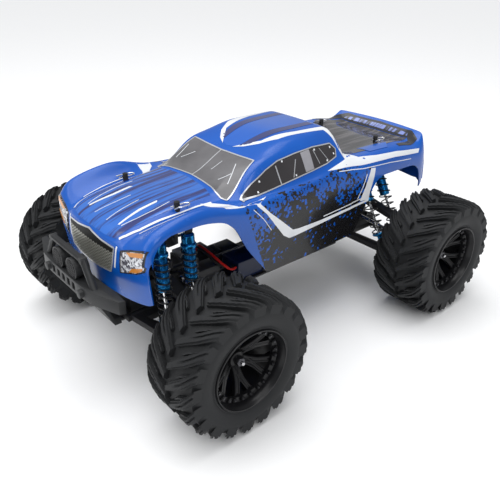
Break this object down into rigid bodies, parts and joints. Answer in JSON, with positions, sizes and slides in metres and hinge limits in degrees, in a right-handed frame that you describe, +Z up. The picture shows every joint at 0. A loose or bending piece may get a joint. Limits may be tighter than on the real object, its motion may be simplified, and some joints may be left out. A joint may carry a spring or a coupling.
{
  "type": "rc monster truck",
  "caption": "Remote-control monster truck: sprung four-wheel chassis with steering, driveline and a clip-on moulded pickup body.",
  "frame": {"origin": "on the ground, under the middle of the truck's overall box", "axes": "+Z up, +X to the truck's left, the nose points along -Y"},
  "size_m": [0.372, 0.499, 0.233],
  "materials": {
    "tyre": "matt moulded rubber",
    "rim": "satin black moulded plastic",
    "black_plastic": "fine-grained black moulding",
    "grey_plastic": "dark grey glass-filled moulding",
    "steel": "bright turned steel",
    "anodised": "blue anodised",
    "shell": "clear polycarbonate painted inside, gloss",
    "gear": "moulded acetal",
    "motor_can": "satin plated",
    "battery": "shrink-wrapped pack",
    "red_silicone": "silicone-covered wire",
    "black_silicone": "silicone-covered wire"
  },
  "bodies": {
    "chassis": {"chassis_plate": "black_plastic", "front_gear_case": "black_plastic", "rear_gear_case": "black_plastic", "front_shock_tower": "black_plastic", "rear_shock_tower": "black_plastic", "front_body_posts": "black_plastic", "rear_body_posts": "black_plastic", "body_shell": "shell", "front_bumper": "grey_plastic", "battery": "battery", "speed_controller": "black_plastic", "receiver_box": "grey_plastic", "power_lead_red": "red_silicone", "power_lead_black": "black_silicone", "motor": "motor_can", "steering_servo": "black_plastic", "body_clip_front_left": "steel", "body_clip_front_right": "steel", "body_clip_rear_left": "steel", "body_clip_rear_right": "steel"},
    "lower_arm_front_left": {"lower_arm_front_left": "black_plastic"},
    "upper_arm_front_left": {"upper_arm_front_left": "black_plastic"},
    "caster_block_left": {"caster_block_left": "black_plastic"},
    "shock_bodies_front_left": {"shock_bodies_front_left": "anodised"},
    "shock_shafts_front_left": {"shock_shafts_front_left": "steel"},
    "drive_shaft_front_left": {"drive_shaft_front_left": "steel"},
    "steering_knuckle_left": {"steering_knuckle_left": "grey_plastic"},
    "wheel_front_left": {"tyre_front_left": "tyre", "rim_front_left": "rim"},
    "lower_arm_front_right": {"lower_arm_front_right": "black_plastic"},
    "upper_arm_front_right": {"upper_arm_front_right": "black_plastic"},
    "caster_block_right": {"caster_block_right": "black_plastic"},
    "shock_bodies_front_right": {"shock_bodies_front_right": "anodised"},
    "shock_shafts_front_right": {"shock_shafts_front_right": "steel"},
    "drive_shaft_front_right": {"drive_shaft_front_right": "steel"},
    "steering_knuckle_right": {"steering_knuckle_right": "grey_plastic"},
    "wheel_front_right": {"tyre_front_right": "tyre", "rim_front_right": "rim"},
    "lower_arm_rear_left": {"lower_arm_rear_left": "black_plastic"},
    "upper_arm_rear_left": {"upper_arm_rear_left": "black_plastic"},
    "hub_carrier_left": {"hub_carrier_left": "grey_plastic"},
    "shock_bodies_rear_left": {"shock_bodies_rear_left": "anodised"},
    "shock_shafts_rear_left": {"shock_shafts_rear_left": "steel"},
    "drive_shaft_rear_left": {"drive_shaft_rear_left": "steel"},
    "wheel_rear_left": {"tyre_rear_left": "tyre", "rim_rear_left": "rim"},
    "lower_arm_rear_right": {"lower_arm_rear_right": "black_plastic"},
    "upper_arm_rear_right": {"upper_arm_rear_right": "black_plastic"},
    "hub_carrier_right": {"hub_carrier_right": "grey_plastic"},
    "shock_bodies_rear_right": {"shock_bodies_rear_right": "anodised"},
    "shock_shafts_rear_right": {"shock_shafts_rear_right": "steel"},
    "drive_shaft_rear_right": {"drive_shaft_rear_right": "steel"},
    "wheel_rear_right": {"tyre_rear_right": "tyre", "rim_rear_right": "rim"},
    "centre_drive_shaft": {"centre_drive_shaft": "gear"},
    "pinion_gear": {"pinion_gear": "steel"},
    "servo_saver": {"servo_saver": "grey_plastic"},
    "steering_link": {"steering_link": "grey_plastic"},
    "tie_rod_left": {"tie_rod_left": "steel"},
    "tie_rod_right": {"tie_rod_right": "steel"}
  },
  "joints": [
    {"name": "lower_arm_front_left_swing", "type": "hinge", "parent": "chassis", "child": "lower_arm_front_left", "pos_m": [0.024, -0.1555, 0.066], "axis": [0, -1, 0], "range_deg": [-4, 16], "stiffness_Nm_per_rad": 2.5, "springref_deg": -7.51},
    {"name": "upper_arm_front_left_swing", "type": "hinge", "parent": "chassis", "child": "upper_arm_front_left", "pos_m": [0.024, -0.1555, 0.112], "axis": [0, -1, 0], "range_deg": [-5, 17]},
    {"name": "caster_block_left_level", "type": "hinge", "parent": "lower_arm_front_left", "child": "caster_block_left", "pos_m": [0.112, -0.1555, 0.05], "axis": [0, -1, 0], "range_deg": [-17, 5]},
    {"name": "shock_bodies_front_left_lean", "type": "hinge", "parent": "chassis", "child": "shock_bodies_front_left", "pos_m": [0.0615, -0.1555, 0.168], "axis": [0, -1, 0], "range_deg": [-1.17, 1.04]},
    {"name": "shock_shafts_front_left_travel", "type": "slide", "parent": "shock_bodies_front_left", "child": "shock_shafts_front_left", "axis": [-0.083, 0, 0.9965], "range_m": [-0.0037, 0.01331]},
    {"name": "drive_shaft_front_left_swing", "type": "hinge", "parent": "chassis", "child": "drive_shaft_front_left", "pos_m": [0.026, -0.1555, 0.082], "axis": [0, -1, 0], "range_deg": [-5, 18]},
    {"name": "steering_knuckle_left_steer", "type": "hinge", "parent": "caster_block_left", "child": "steering_knuckle_left", "pos_m": [0.119, -0.1555, 0.075], "axis": [0, 0, 1], "range_deg": [-26, 26]},
    {"name": "wheel_front_left_spin", "type": "hinge", "parent": "steering_knuckle_left", "child": "wheel_front_left", "pos_m": [0.15, -0.1555, 0.075], "axis": [1, 0, 0], "continuous": true},
    {"name": "lower_arm_front_right_swing", "type": "hinge", "parent": "chassis", "child": "lower_arm_front_right", "pos_m": [-0.024, -0.1555, 0.066], "axis": [0, 1, 0], "range_deg": [-4, 16], "stiffness_Nm_per_rad": 2.5, "springref_deg": -7.51},
    {"name": "upper_arm_front_right_swing", "type": "hinge", "parent": "chassis", "child": "upper_arm_front_right", "pos_m": [-0.024, -0.1555, 0.112], "axis": [0, 1, 0], "range_deg": [-5, 17]},
    {"name": "caster_block_right_level", "type": "hinge", "parent": "lower_arm_front_right", "child": "caster_block_right", "pos_m": [-0.112, -0.1555, 0.05], "axis": [0, 1, 0], "range_deg": [-17, 5]},
    {"name": "shock_bodies_front_right_lean", "type": "hinge", "parent": "chassis", "child": "shock_bodies_front_right", "pos_m": [-0.0615, -0.1555, 0.168], "axis": [0, 1, 0], "range_deg": [-1.17, 1.04]},
    {"name": "shock_shafts_front_right_travel", "type": "slide", "parent": "shock_bodies_front_right", "child": "shock_shafts_front_right", "axis": [0.083, 0, 0.9965], "range_m": [-0.0037, 0.01331]},
    {"name": "drive_shaft_front_right_swing", "type": "hinge", "parent": "chassis", "child": "drive_shaft_front_right", "pos_m": [-0.026, -0.1555, 0.082], "axis": [0, 1, 0], "range_deg": [-5, 18]},
    {"name": "steering_knuckle_right_steer", "type": "hinge", "parent": "caster_block_right", "child": "steering_knuckle_right", "pos_m": [-0.119, -0.1555, 0.075], "axis": [0, 0, 1], "range_deg": [-26, 26]},
    {"name": "wheel_front_right_spin", "type": "hinge", "parent": "steering_knuckle_right", "child": "wheel_front_right", "pos_m": [-0.15, -0.1555, 0.075], "axis": [1, 0, 0], "continuous": true},
    {"name": "lower_arm_rear_left_swing", "type": "hinge", "parent": "chassis", "child": "lower_arm_rear_left", "pos_m": [0.024, 0.1745, 0.066], "axis": [0, -1, 0], "range_deg": [-4, 16], "stiffness_Nm_per_rad": 2.5, "springref_deg": -7.85},
    {"name": "upper_arm_rear_left_swing", "type": "hinge", "parent": "chassis", "child": "upper_arm_rear_left", "pos_m": [0.024, 0.1745, 0.112], "axis": [0, -1, 0], "range_deg": [-5, 17]},
    {"name": "hub_carrier_left_level", "type": "hinge", "parent": "lower_arm_rear_left", "child": "hub_carrier_left", "pos_m": [0.112, 0.1745, 0.05], "axis": [0, -1, 0], "range_deg": [-17, 5]},
    {"name": "shock_bodies_rear_left_lean", "type": "hinge", "parent": "chassis", "child": "shock_bodies_rear_left", "pos_m": [0.03, 0.1745, 0.165], "axis": [0, -1, 0], "range_deg": [-1.97, 4.87]},
    {"name": "shock_shafts_rear_left_travel", "type": "slide", "parent": "shock_bodies_rear_left", "child": "shock_shafts_rear_left", "axis": [-0.4923, 0, 0.8704], "range_m": [-0.00442, 0.01617]},
    {"name": "drive_shaft_rear_left_swing", "type": "hinge", "parent": "chassis", "child": "drive_shaft_rear_left", "pos_m": [0.026, 0.1745, 0.082], "axis": [0, -1, 0], "range_deg": [-5, 18]},
    {"name": "wheel_rear_left_spin", "type": "hinge", "parent": "hub_carrier_left", "child": "wheel_rear_left", "pos_m": [0.15, 0.1745, 0.075], "axis": [1, 0, 0], "continuous": true},
    {"name": "lower_arm_rear_right_swing", "type": "hinge", "parent": "chassis", "child": "lower_arm_rear_right", "pos_m": [-0.024, 0.1745, 0.066], "axis": [0, 1, 0], "range_deg": [-4, 16], "stiffness_Nm_per_rad": 2.5, "springref_deg": -7.85},
    {"name": "upper_arm_rear_right_swing", "type": "hinge", "parent": "chassis", "child": "upper_arm_rear_right", "pos_m": [-0.024, 0.1745, 0.112], "axis": [0, 1, 0], "range_deg": [-5, 17]},
    {"name": "hub_carrier_right_level", "type": "hinge", "parent": "lower_arm_rear_right", "child": "hub_carrier_right", "pos_m": [-0.112, 0.1745, 0.05], "axis": [0, 1, 0], "range_deg": [-17, 5]},
    {"name": "shock_bodies_rear_right_lean", "type": "hinge", "parent": "chassis", "child": "shock_bodies_rear_right", "pos_m": [-0.03, 0.1745, 0.165], "axis": [0, 1, 0], "range_deg": [-1.97, 4.87]},
    {"name": "shock_shafts_rear_right_travel", "type": "slide", "parent": "shock_bodies_rear_right", "child": "shock_shafts_rear_right", "axis": [0.4923, 0, 0.8704], "range_m": [-0.00442, 0.01617]},
    {"name": "drive_shaft_rear_right_swing", "type": "hinge", "parent": "chassis", "child": "drive_shaft_rear_right", "pos_m": [-0.026, 0.1745, 0.082], "axis": [0, 1, 0], "range_deg": [-5, 18]},
    {"name": "wheel_rear_right_spin", "type": "hinge", "parent": "hub_carrier_right", "child": "wheel_rear_right", "pos_m": [-0.15, 0.1745, 0.075], "axis": [1, 0, 0], "continuous": true},
    {"name": "centre_drive_shaft_spin", "type": "hinge", "parent": "chassis", "child": "centre_drive_shaft", "pos_m": [0, 0.052, 0.082], "axis": [0, 1, 0], "continuous": true},
    {"name": "pinion_gear_spin", "type": "hinge", "parent": "chassis", "child": "pinion_gear", "pos_m": [-0.0216, 0.052, 0.082], "axis": [0, 1, 0], "continuous": true},
    {"name": "servo_saver_turn", "type": "hinge", "parent": "chassis", "child": "servo_saver", "pos_m": [0.014, -0.0985, 0.093], "axis": [0, 0, 1], "range_deg": [-25, 25]},
    {"name": "steering_link_slide", "type": "slide", "parent": "chassis", "child": "steering_link", "axis": [1, 0, 0], "range_m": [-0.01254, 0.01254]},
    {"name": "tie_rod_left_swing", "type": "hinge", "parent": "steering_link", "child": "tie_rod_left", "pos_m": [0.031, -0.127, 0.093], "axis": [0, -1, 0], "range_deg": [-5, 17]},
    {"name": "tie_rod_right_swing", "type": "hinge", "parent": "steering_link", "child": "tie_rod_right", "pos_m": [-0.031, -0.127, 0.093], "axis": [0, 1, 0], "range_deg": [-5, 17]}
  ],
  "couplings": [
    {"joint": "upper_arm_front_left_swing", "follows": "lower_arm_front_left_swing", "ratio": 1},
    {"joint": "caster_block_left_level", "follows": "lower_arm_front_left_swing", "ratio": -1},
    {"joint": "shock_bodies_front_left_lean", "follows": "lower_arm_front_left_swing", "ratio": -0.01079},
    {"joint": "shock_shafts_front_left_travel", "follows": "lower_arm_front_left_swing", "m_per_rad": 0.04587},
    {"joint": "drive_shaft_front_left_swing", "follows": "lower_arm_front_left_swing", "ratio": 1.0203},
    {"joint": "upper_arm_front_right_swing", "follows": "lower_arm_front_right_swing", "ratio": 1},
    {"joint": "caster_block_right_level", "follows": "lower_arm_front_right_swing", "ratio": -1},
    {"joint": "shock_bodies_front_right_lean", "follows": "lower_arm_front_right_swing", "ratio": -0.01079},
    {"joint": "shock_shafts_front_right_travel", "follows": "lower_arm_front_right_swing", "m_per_rad": 0.04587},
    {"joint": "drive_shaft_front_right_swing", "follows": "lower_arm_front_right_swing", "ratio": 1.0203},
    {"joint": "upper_arm_rear_left_swing", "follows": "lower_arm_rear_left_swing", "ratio": 1},
    {"joint": "hub_carrier_left_level", "follows": "lower_arm_rear_left_swing", "ratio": -1},
    {"joint": "shock_bodies_rear_left_lean", "follows": "lower_arm_rear_left_swing", "ratio": 0.24185},
    {"joint": "shock_shafts_rear_left_travel", "follows": "lower_arm_rear_left_swing", "m_per_rad": 0.0561},
    {"joint": "drive_shaft_rear_left_swing", "follows": "lower_arm_rear_left_swing", "ratio": 1.0203},
    {"joint": "upper_arm_rear_right_swing", "follows": "lower_arm_rear_right_swing", "ratio": 1},
    {"joint": "hub_carrier_right_level", "follows": "lower_arm_rear_right_swing", "ratio": -1},
    {"joint": "shock_bodies_rear_right_lean", "follows": "lower_arm_rear_right_swing", "ratio": 0.24185},
    {"joint": "shock_shafts_rear_right_travel", "follows": "lower_arm_rear_right_swing", "m_per_rad": 0.0561},
    {"joint": "drive_shaft_rear_right_swing", "follows": "lower_arm_rear_right_swing", "ratio": 1.0203},
    {"joint": "wheel_front_left_spin", "follows": "wheel_rear_left_spin", "ratio": 1},
    {"joint": "wheel_front_right_spin", "follows": "wheel_rear_left_spin", "ratio": 1},
    {"joint": "wheel_rear_right_spin", "follows": "wheel_rear_left_spin", "ratio": 1},
    {"joint": "centre_drive_shaft_spin", "follows": "wheel_rear_left_spin", "ratio": 2.8},
    {"joint": "pinion_gear_spin", "follows": "wheel_rear_left_spin", "ratio": -8},
    {"joint": "steering_link_slide", "follows": "servo_saver_turn", "m_per_rad": 0.0276},
    {"joint": "steering_knuckle_left_steer", "follows": "servo_saver_turn", "ratio": -1},
    {"joint": "tie_rod_left_swing", "follows": "lower_arm_front_left_swing", "ratio": 1},
    {"joint": "steering_knuckle_right_steer", "follows": "servo_saver_turn", "ratio": -1},
    {"joint": "tie_rod_right_swing", "follows": "lower_arm_front_right_swing", "ratio": 1}
  ]
}
